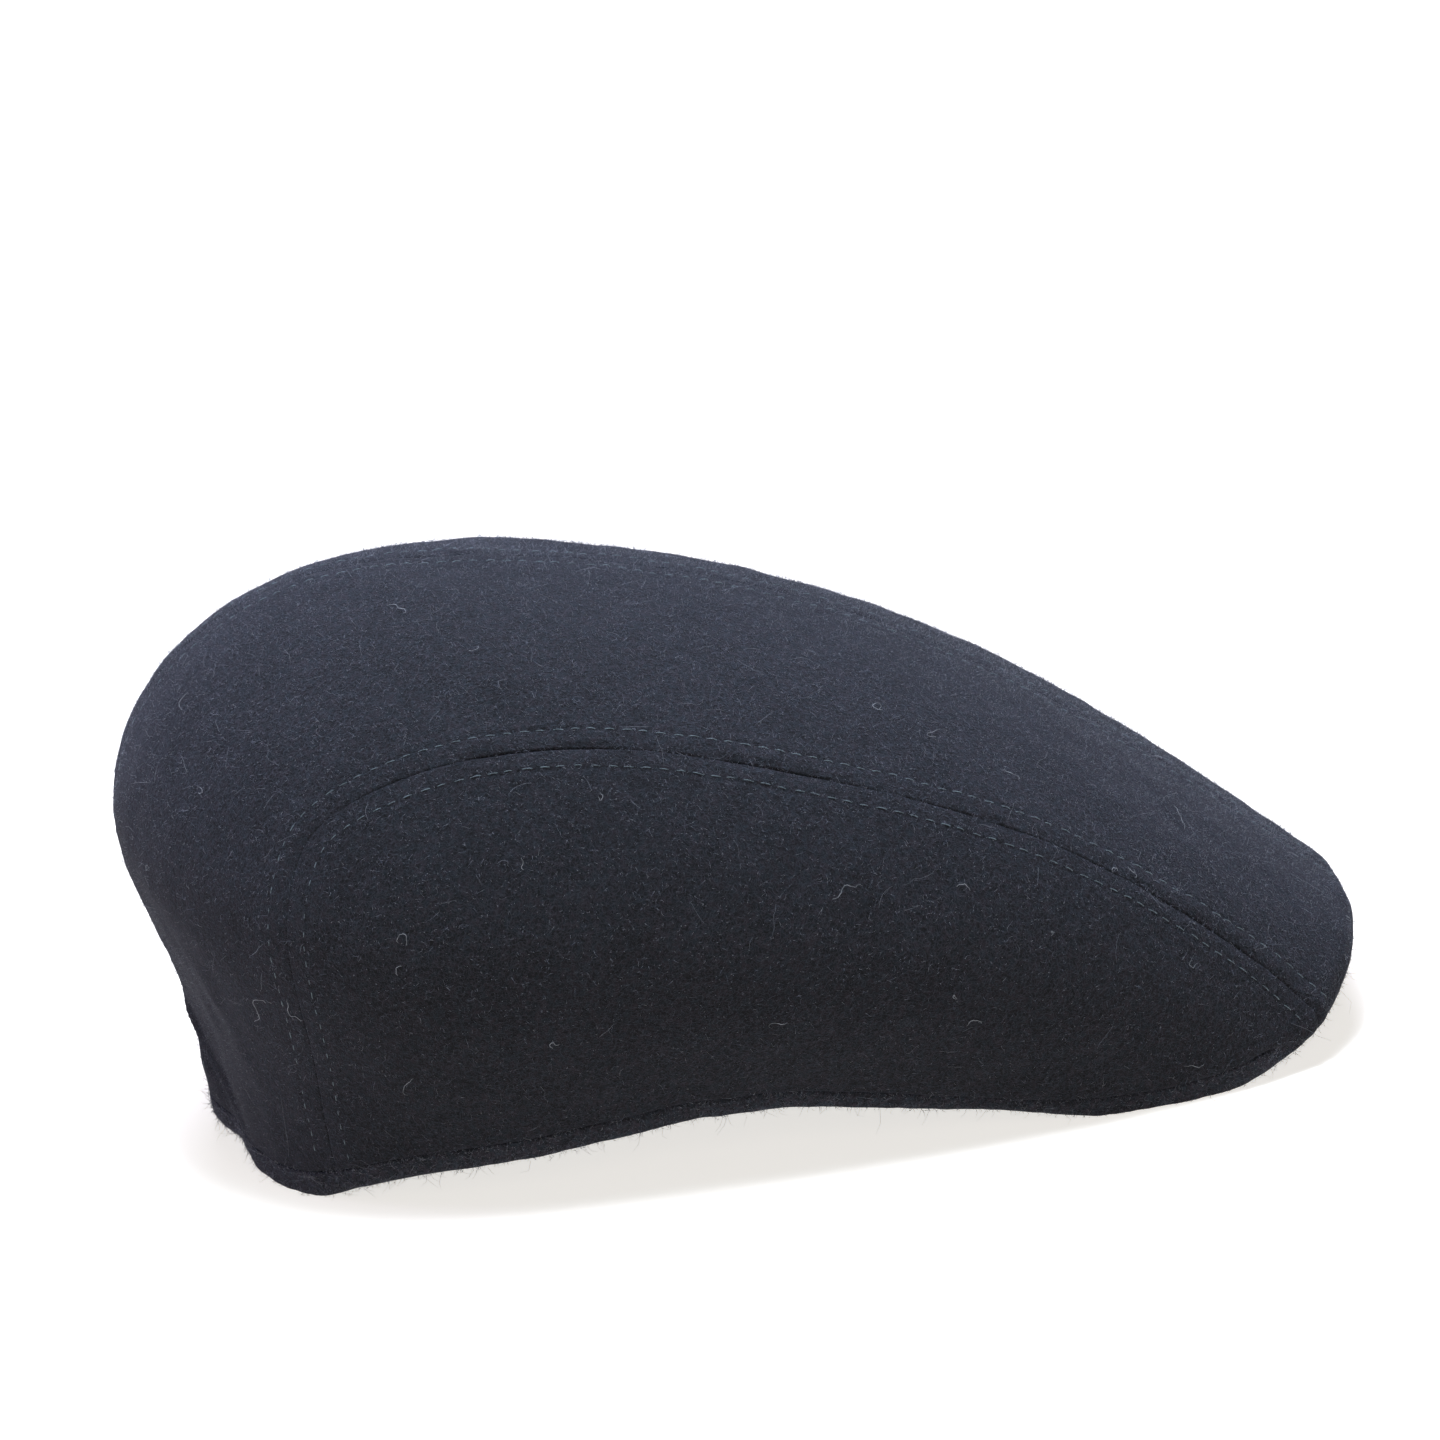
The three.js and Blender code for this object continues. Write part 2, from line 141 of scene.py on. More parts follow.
def hoop(level):  # the crown's lines at a level
    ahead, behind = levelSteps * (1 + level), levelSteps * (1 - level)
    line = lambda name, place: follow(crownLines[name], place)
    return (line("along", ahead), line("along", behind), line("across", ahead),
            line("pinch", ahead), line("pinch", behind),
            line("endHeight", ahead), line("endHeight", behind), line("sideHeight", ahead))


def hoopHeight(frontZ, backZ, sideZ, cosine):  # height round a level, by the cosine of the angle
    return sideZ + (frontZ - backZ) / 2 * cosine + ((frontZ + backZ) / 2 - sideZ) * cosine ** 2


lastHoop = hoop(np.array(1.0))
lastMiddle, lastReach = (lastHoop[0] + lastHoop[1]) / 2, (lastHoop[0] - lastHoop[1]) / 2


def outer(angle, level):  # outer face of the cloth, angles in degrees, positive on the near side
    front, back, side, frontPinch, backPinch, frontZ, backZ, sideZ = hoop(level)
    place = (angle / 180 % 2) * (len(edgeRows) - 1) + 2
    along, across, height = (follow(line, place) * size for line, size in
                             zip(edgeLines, (cap["length"], cap["lowerWidth"] / 2, cap["height"])))
    cosine, sine = np.cos(np.radians(angle)), np.sin(np.radians(angle))
    share = np.maximum(level, 1e-9) ** (cap["planOnset"] - cap["planLead"] * cosine)
    pinch = (frontPinch + backPinch) / 2 * cosine ** 2 + (frontPinch - backPinch) / 2 * cosine ** 3
    sine = sine * (1 - pinch)
    planCosine = cosine + ((along - lastMiddle) / lastReach - cosine) * share
    planSine = sine + (across / lastHoop[2] - sine) * share
    drop = (height - hoopHeight(lastHoop[5], lastHoop[6], lastHoop[7], cosine)) * level ** cap["waveOnset"]
    dent = sum(depth * np.exp(-((np.abs(angle) - at) / spread) ** 2 - ((level - atLevel) / reach) ** 2)
               for at, atLevel, spread, reach, depth in dentRows)
    pull = 1 - dent / lastReach
    return np.stack([(front + back) / 2 + planCosine * pull * (front - back) / 2 - cap["shift"],
                     -planSine * pull * side, hoopHeight(frontZ, backZ, sideZ, cosine) + drop], -1)


def cloth(place):  # from a place in the flat disc whose rim is the lower edge; past it, down the lip
    angle = np.degrees(np.arctan2(place[..., 1], place[..., 0]))
    level = np.hypot(place[..., 0], place[..., 1])
    points = outer(angle, np.minimum(1, level))
    past = level > 1 + 1e-6
    if past.any():
        points[past] = atEdge(angle[past], (level[past] - 1) * cap["lipLevel"], 0 * level[past])
    return points


def unit(v):
    return v / np.maximum(np.linalg.norm(v, axis=-1, keepdims=True), 1e-12)


def inward(place, step=0.004):  # the way into the cloth
    size = np.linalg.norm(place, axis=-1, keepdims=True)
    inside = place * np.where(size > 1 - step, (1 - step) / np.maximum(size, 1e-9), 1)
    ahead = cloth(inside + (step, 0)) - cloth(inside - (step, 0))
    aside = cloth(inside + (0, step)) - cloth(inside - (0, step))
    return unit(np.cross(ahead, aside))


def discPlace(angle, level):  # a place in the flat disc
    return np.stack([level * np.cos(np.radians(angle)), level * np.sin(np.radians(angle))], -1)


def atEdge(angle, drop, depth):  # beside the lower edge: drop runs down, or up the cloth where negative
    edgeStep = 0.02
    rim = discPlace(angle, 1.0)
    down = cloth(rim) - cloth(discPlace(angle, 1 - edgeStep))
    perLevel = np.linalg.norm(down, axis=-1) / edgeStep
    place = discPlace(angle, 1 + np.minimum(drop, 0) / perLevel)
    way = unit(unit(down) + (0, 0, -cap["lipDroop"]))
    point = cloth(place) + inward(place) * np.asarray(depth)[..., None]
    point = point + way * np.maximum(drop, 0)[..., None]
    pressed = np.clip((3 * cap["settle"] - point[..., 2]) / (2 * cap["settle"]), 0, 1)
    settled = np.maximum(0, point[..., 2] - cap["settle"] * pressed)
    point[..., 2] = np.where(drop > 0, settled, point[..., 2])
    return point


def rise(value, start, stop):  # smooth step
    t = np.clip((value - start) / (stop - start), 0, 1)
    return t * t * (3 - 2 * t)


def rimLevel(angle):  # the cloth runs down over the peak's lip at the nose
    return 1 + cap["overLip"] / cap["lipLevel"] * (1 - rise(np.abs(angle), *cap["overTo"]))


def seamPlace(share):  # places along the side seam, from the back corner
    share = np.asarray(share, float)
    place = share * (len(seamRows) - 1)
    angle = follow(seamRows[:, 0], place)
    overRim = 1 + (rimLevel(angle) - 1) * rise(share, 0.9, 1)
    return discPlace(angle, follow(seamRows[:, 1], place) * overRim)


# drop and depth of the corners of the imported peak's lip, which reach furthest ahead
lipDrops, lipDepths = np.array([3.6, 4.9]), np.array([0.0, 1.3])
lipCorners = atEdge(np.zeros(2), lipDrops, lipDepths)
cap["shift"] = float(lipCorners[:, 0].max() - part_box("peak")[1].x / mm)
print("cloth shape ready, shifted by", round(cap["shift"], 2), "mm")

# seams, rows of stitches beside them and the roll of the lower edge, in mm
sewing = {
    "row": 5.0,
    "upperRow": 4.4,
    "pitch": 3.8,
    "thread": 2.9,
    "radius": 0.098,
    "valley": 0.43,
    "valleyWidth": 0.27,
    "dip": 0.07,
    "dipWidth": 1.6,
    "pad": 0.16,
    "groove": 0.24,
    "grooveWidth": 0.7,
    "firmFrom": (0.22, 0.36),
    "firmLeast": 0.32,
    "sunk": 0.18,
    "centreSunk": 0.1,
    "allowance": 6.4,
    "allowanceThick": 1.4,
    "edgeRoll": 0.4,
    "edgeWidth": 0.42,
    "noseRoll": 1.9,
    "pucker": 0.13,
    "tipPucker": 0.3,
    "tipFrom": (0.93, 0.985),
    "tipGap": 2.4,
    "tipWidth": 1.5,
    "centreDepth": 0.6,
    "padFrom": (0.4, 2.2),
    "padTo": (-0.3, 4),
    "puckerFrom": (0.5, 2),
    "puckerReach": 8,
    "puckerWaves": (9, 3),
    "uneven": (0.25, 22, 4),
    "softWaves": [(0.12, 16, 5), (0.035, 5, 6)],
    "innerWaves": (0.05, 7, 8),
    "stitchHeights": (-0.34, 0.0, 0.15, 0.19, 0.15, 0.0, -0.34),
    "stitchSpans": (0.78, 1.08),
    "strayStart": 0.16,
    "strayHeight": 0.03,
    "strayLean": 0.12,
    "allowanceOver": 0.15,
}


def waves(points, size, seed, count=9):  # smooth unevenness of about unit height and of a size in mm
    pick = np.random.default_rng(seed)
    ways = unit(pick.normal(size=(count, 3))) * 2 * np.pi / (size * pick.uniform(0.7, 1.5, (count, 1)))
    phase = pick.uniform(0, 2 * np.pi, count)
    return np.cos(points @ ways.T + phase).sum(-1) * np.sqrt(2 / count)


def lineOn(places):  # points, directions and running length of a line on the cloth
    points = cloth(places)
    steps = np.linalg.norm(np.diff(points, axis=0), axis=1)
    return points, unit(np.gradient(points, axis=0)), np.concatenate([[0], np.cumsum(steps)])


def nearest(points, line):  # distance to a line and the length along it
    flat = points.reshape(-1, 3)
    gap, run = np.empty(len(flat)), np.empty(len(flat))
    for start in range(0, len(flat), 3000):
        some = flat[start:start + 3000]
        square = (some ** 2).sum(1)[:, None] - 2 * some @ line[0].T + (line[0] ** 2).sum(1)[None]
        k = square.argmin(1)
        away = some - line[0][k]
        ahead = (away * line[1][k]).sum(1)
        gap[start:start + 3000] = np.linalg.norm(away - line[1][k] * ahead[:, None], axis=1)
        run[start:start + 3000] = line[2][k] + ahead
    return gap.reshape(points.shape[:-1]), run.reshape(points.shape[:-1])


def centrePlace(share):  # places along the centre seam, from the back
    share = np.asarray(share, float)
    return np.stack([share * (1 + rimLevel(0.0)) - 1, 0 * share], -1)


along = np.linspace(0, 1, 1100)
sideLine, centreLine = lineOn(seamPlace(along)), lineOn(centrePlace(along))
lowerLine = lineOn(discPlace(180 * along, rimLevel(180 * along)))
noseRun = float(np.interp(cap["overTo"][1], 180 * along, lowerLine[2]))
foldLines = []
for height, width, rows in foldRows:
    fold = np.array(rows, float)
    place = along[::8] * (len(rows) - 1)
    way = discPlace(follow(fold[:, 0], place), follow(fold[:, 1], place))
    foldLines.append((height, width, lineOn(way)))


def swell(points):  # soft unevenness and folds that move both faces of the cloth
    height = sum(high * waves(points, size, seed) for high, size, seed in sewing["softWaves"])
    for high, width, line in foldLines:
        gap, run = nearest(points, line)
        fade = rise(run, -3, 6) * (1 - 0.8 * rise(run, 0.55 * line[2][-1], line[2][-1]))
        height = height + high * np.exp(-(gap / width) ** 2) * fade
    return height


def besideSeam(gap, run, depth):  # height of the face beside a seam: valley, pad, row groove and puckers
    pulled = 0.7 + 0.3 * np.cos(2 * np.pi * run / sewing["pitch"])
    valley = -sewing["valley"] * np.exp(-(gap / sewing["valleyWidth"]) ** 2)
    valley = valley - sewing["dip"] * np.exp(-(gap / sewing["dipWidth"]) ** 2)
    padStop = [sewing["row"] + past for past in sewing["padTo"]]
    pad = sewing["pad"] * rise(gap, *sewing["padFrom"]) * (1 - rise(gap, *padStop))
    groove = -sewing["groove"] * pulled * np.exp(-((gap - sewing["row"]) / sewing["grooveWidth"]) ** 2)
    along = np.stack([run, run * 0, run * 0], -1)
    pucker = sewing["pucker"] * waves(along, *sewing["puckerWaves"]) * rise(gap, *sewing["puckerFrom"])
    pucker = pucker * np.exp(-(gap / sewing["puckerReach"]) ** 2)
    return depth * (valley + pad + groove + pucker)


def relief(points, far=False):  # height of the cloth's face over its plain shape, in mm
    near = points * (1, -1, 1) if far else points
    gap, run = nearest(near, sideLine)
    firm = rise(run / sideLine[2][-1], *sewing["firmFrom"])
    high, size, seed = sewing["uneven"]
    uneven = 1 + high * waves(np.stack([run, 0 * run, 0 * run], -1), size, seed)
    side = besideSeam(gap, run, (sewing["firmLeast"] + (1 - sewing["firmLeast"]) * firm) * uneven)
    tip = np.exp(-((gap - sewing["tipGap"]) / sewing["tipWidth"]) ** 2)
    tip = rise(run / sideLine[2][-1], *sewing["tipFrom"]) * tip
    side = side + sewing["tipPucker"] * tip
    middle = besideSeam(*nearest(near, centreLine), sewing["centreDepth"])
    gap, run = nearest(near, lowerLine)
    nose = 1 - rise(run, noseRun * 0.9, noseRun * 1.1)
    edge = -sewing["edgeRoll"] * np.exp(-(gap / sewing["edgeWidth"]) ** 2) * (1 - nose)
    inside = np.clip(gap / sewing["noseRoll"], 0, 1)
    edge = edge - nose * sewing["noseRoll"] * (1 - np.sqrt(1 - (1 - inside) ** 2))
    return side + middle + edge


def shares(length, fine, coarse, margin, ends=(True, True)):  # places along a side, closer near its ends
    at, places = 0.0, [0.0]
    while at < length:
        room = min(at if ends[0] else 1e3, length - at if ends[1] else 1e3)
        at += fine + (coarse - fine) * float(rise(room, margin, 2.5 * margin))
        places.append(at)
    count = 3 * round(len(places) / 3) + 1
    row = np.interp(np.linspace(0, len(places) - 1, count), np.arange(len(places)), places)
    return row / row[-1]


def patch(us, vs, low, high, first, last):  # places between four borders that meet at the corners
    u, v = us[:, None, None], vs[None, :, None]
    ends = np.array([0.0, 1.0])
    lowEnds, highEnds = low(ends), high(ends)
    corners = (lowEnds[0] * (1 - u) + lowEnds[1] * u) * (1 - v)
    corners = corners + (highEnds[0] * (1 - u) + highEnds[1] * u) * v
    between = low(us)[:, None] * (1 - v) + high(us)[:, None] * v
    return between + first(vs)[None] * (1 - u) + last(vs)[None] * u - corners


def drawnIn(points, amount):  # a face whose borders are drawn in by an amount
    moved = points.copy()
    moved[0] += unit(points[1] - points[0]) * amount
    moved[-1] += unit(points[-2] - points[-1]) * amount
    moved[:, 0] += unit(points[:, 1] - points[:, 0]) * amount
    moved[:, -1] += unit(points[:, -2] - points[:, -1]) * amount
    return moved


def meshOf(name, points, faces, material):
    mesh = bpy.data.meshes.new(name)
    mesh.from_pydata((np.asarray(points) * mm).tolist(), [], faces)
    mesh.materials.append(material)
    mesh.polygons.foreach_set("use_smooth", [True] * len(mesh.polygons))
    piece = bpy.data.objects.new(name, mesh)
    bpy.context.scene.collection.objects.link(piece)
    return piece


def gridFaces(index):
    a, b, c, d = index[:-1, :-1], index[:-1, 1:], index[1:, 1:], index[1:, :-1]
    return np.stack([a, b, c, d], -1).reshape(-1, 4).tolist()


napBeds = []  # outer faces that carry the nap: points, ways out and size of each place
edgeBeds = []  # the same along the folded edges, without sizes


def panel(name, places, material, far):  # cloth with a fine outer and a coarser inner face, closed round
    base, into = cloth(places), inward(places)
    if far:
        base, into = base * (1, -1, 1), into * (1, -1, 1)
    base = base - into * swell(base)[..., None]
    top = drawnIn(base - into * relief(base, far)[..., None], cap["seamGap"] / 2)
    high, size, seed = sewing["innerWaves"]
    inner = base + into * (cap["cloth"] + high * waves(base, size, seed))[..., None]
    under = drawnIn(inner, cap["seamGap"] / 2)[::3, ::3]
    rows, columns = top.shape[:2]
    upper = np.arange(rows * columns).reshape(rows, columns)
    lower = rows * columns + np.arange(under.shape[0] * under.shape[1]).reshape(under.shape[:2])
    faces = gridFaces(upper) + gridFaces(lower[:, ::-1])
    borders = ((upper[0, ::-1], lower[0, ::-1]), (upper[-1], lower[-1]),
               (upper[:, 0], lower[:, 0]), (upper[::-1, -1], lower[::-1, -1]))
    for fineRow, coarseRow in borders:
        for k in range(len(coarseRow) - 1):
            a, b, c, d = (int(i) for i in fineRow[3 * k:3 * k + 4])
            e, f = int(coarseRow[k]), int(coarseRow[k + 1])
            faces += [[a, b, e], [b, c, e], [c, f, e], [c, d, f]]
    if far:
        faces = [face[::-1] for face in faces]
    cell = np.linalg.norm(np.cross(np.gradient(top, axis=0), np.gradient(top, axis=1)), axis=-1)
    napBeds.append((top.reshape(-1, 3), -into.reshape(-1, 3), cell.ravel()))
    piece = meshOf(name, np.concatenate([top.reshape(-1, 3), under.reshape(-1, 3)]), faces, material)
    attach(piece, "root")
    return piece


panelCut = {
    "backCorner": 144.0,
    "frontCorner": 42.0,
    "upright": 0.3,
    "tipShare": 0.992,
    "tipAngle": 0.6,
    "fine": 0.32,
    "coarse": 1.7,
    "along": 0.85,
    "margin": 6.5,
    "endFine": 0.5,
    "endMargin": 2.5,
    "topSides": (345, 92),
    "sideSides": (225, 88),
}


class Tap:  # one output of a material's node; sums and products of taps add their own nodes
    def __init__(self, recipe, socket):
        self.recipe, self.socket = recipe, socket

    def join(self, operation, first, second):
        return self.recipe.node("ShaderNodeMath", {"operation": operation}, {0: first, 1: second})

    def __add__(self, other):
        return self.join("ADD", self, other)

    def __radd__(self, other):
        return self.join("ADD", other, self)

    def __sub__(self, other):
        return self.join("SUBTRACT", self, other)

    def __rsub__(self, other):
        return self.join("SUBTRACT", other, self)

    def __mul__(self, other):
        return self.join("MULTIPLY", self, other)

    def __rmul__(self, other):
        return self.join("MULTIPLY", other, self)


class Recipe:  # a material and the one method that adds its nodes
    def __init__(self, name):
        self.material = bpy.data.materials.new(name)
        self.material.use_nodes = True
        self.tree = self.material.node_tree
        self.shader = self.tree.nodes["Principled BSDF"]

    def node(self, kind, settings=None, sockets=None, output=0):
        made = self.tree.nodes.new(kind)
        for key, value in (settings or {}).items():
            setattr(made, key, value)
        self.feed(made, sockets or {})
        return Tap(self, made.outputs[output])

    def feed(self, made, sockets):
        for key, value in sockets.items():
            if isinstance(value, Tap):
                self.tree.links.new(value.socket, made.inputs[key])
            else:
                made.inputs[key].default_value = value

    def place(self):
        return self.node("ShaderNodeTexCoord", output="Object")

    def noise(self, where, scale, detail=2.0, roughness=0.5):
        return self.node("ShaderNodeTexNoise", {"noise_dimensions": "3D"},
                         {"Vector": where, "Scale": scale, "Detail": detail, "Roughness": roughness})

    def blend(self, share, low, high):
        return self.node("ShaderNodeMix", {"data_type": "RGBA", "clamp_factor": True},
                         {0: share, 6: low, 7: high}, output=2)

    def span(self, value, low, high):
        return self.node("ShaderNodeMapRange", {"clamp": True},
                         {"Value": value, "From Min": low, "From Max": high})

    def surface(self, sockets):
        self.feed(self.shader, sockets)
        return self.material


woolLook = {
    "deep": (0.0036, 0.0038, 0.0049, 1),
    "teal": (0.0086, 0.0113, 0.0150, 1),
    "plum": (0.0140, 0.0118, 0.0154, 1),
    "hair": (0.0520, 0.0550, 0.0680, 1),
    "sheen": 0.04,
    "sheenTint": (0.66, 0.68, 1.0, 1),
    "bend": (420.0, 0.0012),
    "grains": (1550, 2, 0.6),
    "clumps": (800, 2, 0.6),
    "soft": (60, 3, 0.5),
    "patches": (640, 2, 0.6),
    "coarse": (620, 0.03),
    "fine": (1300, 0.05),
    "roughness": 0.95,
    "bump": 1.0,
    "bumpDepth": 0.0008,
}


def feltedWool(name, look, paintedLightGain=1.0):
    wool = Recipe(name)
    where = wool.place()
    bendScale, bendReach = look["bend"]
    drift = wool.node("ShaderNodeTexNoise", {}, {"Vector": where, "Scale": bendScale, "Detail": 1.0},
                      output=1)
    bent = wool.node("ShaderNodeVectorMath", {"operation": "MULTIPLY_ADD"},
                     {0: drift, 1: (bendReach, bendReach, bendReach), 2: where})

    def hairs(scale, thin):  # curly lines where a noise passes its middle
        middle = wool.noise(bent, scale, 1.0, 0.4) - 0.5
        away = wool.node("ShaderNodeMath", {"operation": "ABSOLUTE"}, {0: middle})
        return 1 - wool.span(away, 0.0, thin)

    # the last argument scales every shade; above 1 it lightens the wool as painted light
    shades = {key: (*(c * paintedLightGain for c in look[key][:3]), 1) for key in ("deep", "teal", "plum", "hair")}
    grains, clumps, soft = (wool.noise(where, *look[key]) for key in ("grains", "clumps", "soft"))
    coarse, fine = hairs(*look["coarse"]), hairs(*look["fine"])
    patches = wool.span(wool.noise(where, *look["patches"]), 0.44, 0.56)
    plain = wool.blend(patches, shades["teal"], shades["plum"])
    tone = wool.span(grains * 0.42 + clumps * 0.46 + soft * 0.12, 0.42, 0.58)
    shade = wool.blend(coarse * 0.22 + fine * 0.3, wool.blend(tone, shades["deep"], plain), shades["hair"])
    height = grains * 0.6 + clumps * 0.4 + coarse * 0.3 + fine * 0.3
    normal = wool.node("ShaderNodeBump", {}, {"Strength": look["bump"], "Distance": look["bumpDepth"],
                                              "Height": height})
    return wool.surface({"Base Color": shade, "Roughness": look["roughness"], "Normal": normal,
                         "Sheen Weight": look["sheen"], "Sheen Roughness": 0.35,
                         "Sheen Tint": look["sheenTint"], "Specular IOR Level": 0.2})


wool = feltedWool("navyWool", woolLook)
# the peak and hem edges get the same wool 1.9 times lighter: painted bounce light from the floor under the
# cap
edgeWoolPaintedBounce = feltedWool("navyWoolEdgePaintedBounce", woolLook, 1.9)
print("wool ready")


def rimPlaces(start, stop):  # places along the lower edge between two angles
    def places(share):
        angle = start + (stop - start) * np.asarray(share, float)
        return discPlace(angle, rimLevel(angle))
    return places


backCorner, frontCorner = panelCut["backCorner"], panelCut["frontCorner"]
topLong, topWide = panelCut["topSides"]
topPlaces = patch(shares(topLong, panelCut["endFine"], panelCut["along"], panelCut["endMargin"]),
                  shares(topWide, panelCut["fine"], panelCut["coarse"], panelCut["margin"]),
                  centrePlace, seamPlace, rimPlaces(180, backCorner), rimPlaces(0, frontCorner))

upright, tipShare = panelCut["upright"], panelCut["tipShare"]
sideLong, sideWide = panelCut["sideSides"]
sideTop = lambda share: seamPlace(upright + (tipShare - upright) * np.asarray(share, float))
sideBack = lambda share: seamPlace(upright * (1 - np.asarray(share, float)))
sideLow = rimPlaces(backCorner, frontCorner + panelCut["tipAngle"])
sideFront = lambda share: sideTop(1.0) + (sideLow(1.0) - sideTop(1.0)) * np.asarray(share, float)[:, None]
sidePlaces = patch(shares(sideLong, panelCut["fine"], panelCut["along"], panelCut["margin"], (True, False)),
                   shares(sideWide, panelCut["fine"], panelCut["coarse"], panelCut["margin"]),
                   sideTop, sideLow, sideBack, sideFront)

# flat cuts with their seam allowances: width and length in mm, area in square metres
topCut = (135, 415, 0.034)
sideCut = (112, 265, 0.0195)
for name, node, places, far, cut in (("topRight", "top_panel_right", topPlaces, False, topCut),
                                     ("topLeft", "top_panel_left", topPlaces, True, topCut),
                                     ("sideRight", "side_panel_right", sidePlaces, False, sideCut),
                                     ("sideLeft", "side_panel_left", sidePlaces, True, sideCut)):
    piece = panel(name, places, wool, far)
    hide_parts(node)
    flat = (cut[0] * mm, cut[1] * mm)
    print(name, len(piece.data.polygons), "faces")


# half profiles as (drop, depth) beside the lower edge, from the top down and back up inside
peakCut = {
    "thickness": 4.0,
    "depth": 56.0,
    "strip": 9.0,
    "taper": 1.2,
    "endGap": 0.04,
    "edgeRound": (1.4, 0.3),
    "lip": [(0.1, 2.5), (0.15, 1.8), (0.3, 1.2), (0.7, 0.8), (1.4, 0.6), (2.4, 0.55), (3.3, 0.65),
            (4.1, 1.15), (4.65, 1.8), (4.9, 2.8), (4.85, 4.0), (4.5, 5.1), (3.9, 6.0), (3.0, 6.55),
            (1.8, 6.8)],
    "noseDepth": 2.45,
    "blendOver": 14,
    "ripple": 0.06,
}
hemCut = {
    "turn": 11.0,
    "edgeRound": 0.5,
    "deepGroove": (62, 78, 108, 124),
    "leastGroove": 0.34,
    "grooveTo": (0.9, 2.4),
    "lip": [(0.1, 2.5), (0.12, 1.5), (0.24, 0.75), (0.6, 0.25), (1.2, 0.06), (2.4, 0.0), (3.5, 0.05),
            (4.4, 0.25), (5.1, 0.75), (5.55, 1.5), (5.7, 2.4), (5.6, 3.3), (5.25, 4.1), (4.6, 4.7),
            (3.6, 5.0)],
}
templeAngle = frontCorner + (backCorner - frontCorner) * 11 / 21  # where the peak ends and the hem begins


def grooveShare(angles):  # how deep the groove above the strip is
    around, deep = 180 - np.abs(180 - np.abs(angles)), hemCut["deepGroove"]
    share = rise(around, deep[0], deep[1]) * (1 - rise(around, deep[2], deep[3]))
    return hemCut["leastGroove"] + (1 - hemCut["leastGroove"]) * share


def shallower(lip, share):  # a lip whose groove has a share of its depth
    start, stop = hemCut["grooveTo"]
    return [(d + 0 * share, q * (share + (1 - share) * rise(d + q, start, stop))) for d, q in lip]


def ringMesh(name, sections, material):  # closed skin round a row of sections, with both ends filled
    count, size = sections.shape[:2]
    index = np.arange(count * size).reshape(count, size)
    faces = gridFaces(np.concatenate([index, index[:, :1]], 1))
    for row, turned in ((index[0], False), (index[-1], True)):
        for k in range(size // 2 - 1):
            face = [int(row[k]), int(row[k + 1]), int(row[size - 2 - k]), int(row[size - 1 - k])]
            faces.append(face if turned else face[::-1])
    piece = meshOf(name, sections.reshape(-1, 3), faces, material)
    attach(piece, "root")
    return piece


def loft(name, node, angles, profile):  # sections beside the lower edge
    sections, out = [], -inward(discPlace(angles, 1.0))
    raised = swell(cloth(discPlace(angles, 1.0)))
    for drop, depth in profile:
        ripple = 0.0 if np.ndim(drop) == 0 and drop < -2 else peakCut["ripple"]
        point = atEdge(angles, drop + 0 * angles, depth + 0 * angles)
        shift = raised + ripple * waves(point, 7, 11) + 0.6 * ripple * waves(point, 2.6, 12)
        sections.append(point + out * shift[:, None])
    sections = np.stack(sections, 1)
    sections[..., 2] = np.maximum(sections[..., 2], 0)
    lipRows = slice(len(profile) // 2 - 10, len(profile) // 2 + 4)
    lip = sections[:, lipRows]
    way = unit(lip - lip.mean(1, keepdims=True))
    edgeBeds.append((lip.reshape(-1, 3), way.reshape(-1, 3)))
    # the folded edges use the wool lightened as painted bounce light
    piece = ringMesh(name, sections, edgeWoolPaintedBounce)
    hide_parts(node)
    return piece


def closer(profile, times):  # the same profile with more points, on a smooth curve
    drops, depths = (np.stack([np.broadcast_arrays(*row)[k] for row in profile]) for k in (0, 1))
    even = np.linspace(0, len(profile) - 1, times * (len(profile) - 1) + 1)
    smooth = [np.stack([follow(column, even) for column in values.reshape(len(profile), -1).T], -1)
              for values in (drops, depths)]
    return list(zip(*smooth))


halfShares, endGap = np.linspace(0, 1, 190), peakCut["endGap"]
peakAngles = np.concatenate([-halfShares[:0:-1], halfShares]) * (templeAngle - endGap)
towardsNose = np.maximum(0, np.cos(np.radians(90 * np.abs(peakAngles) / templeAngle)))
reach = peakCut["strip"] + (peakCut["depth"] - peakCut["strip"]) * towardsNose ** peakCut["taper"]
plateTop = cap["cloth"] + cap["clearance"]
plateUnder = plateTop + peakCut["thickness"]
steps = np.array([1.0, 0.985, 0.93, 0.8, 0.65, 0.5, 0.36, 0.24, 0.14, 0.06, 0.0])
atTip, nextToTip = (bend * (steps == step) for bend, step in zip(peakCut["edgeRound"], steps))
rounded = atTip + nextToTip
peakProfile = [(-reach * s, plateTop + bend) for s, bend in zip(steps, rounded)]
underCloth = 1 - rise(np.abs(peakAngles), *cap["overTo"])
towardsHem = rise(np.abs(peakAngles), templeAngle - peakCut["blendOver"], templeAngle - 1)
mixed = [(d + (hd - d) * towardsHem, q + (hq - q) * towardsHem)
         for (d, q), (hd, hq) in zip(peakCut["lip"], hemCut["lip"])]
mixed = shallower(mixed, grooveShare(peakAngles))
peakProfile += [(d, np.maximum(q, peakCut["noseDepth"] * underCloth)) for d, q in closer(mixed, 2)]
plateUnder = plateUnder + (plateTop + cap["cloth"] - plateUnder) * towardsHem
peakProfile += [(-reach * s, plateUnder - bend) for s, bend in zip(steps[::-1], rounded[::-1])]
peakPiece = loft("peakCloth", "peak", peakAngles, peakProfile)
print("peak", len(peakPiece.data.polygons), "faces")

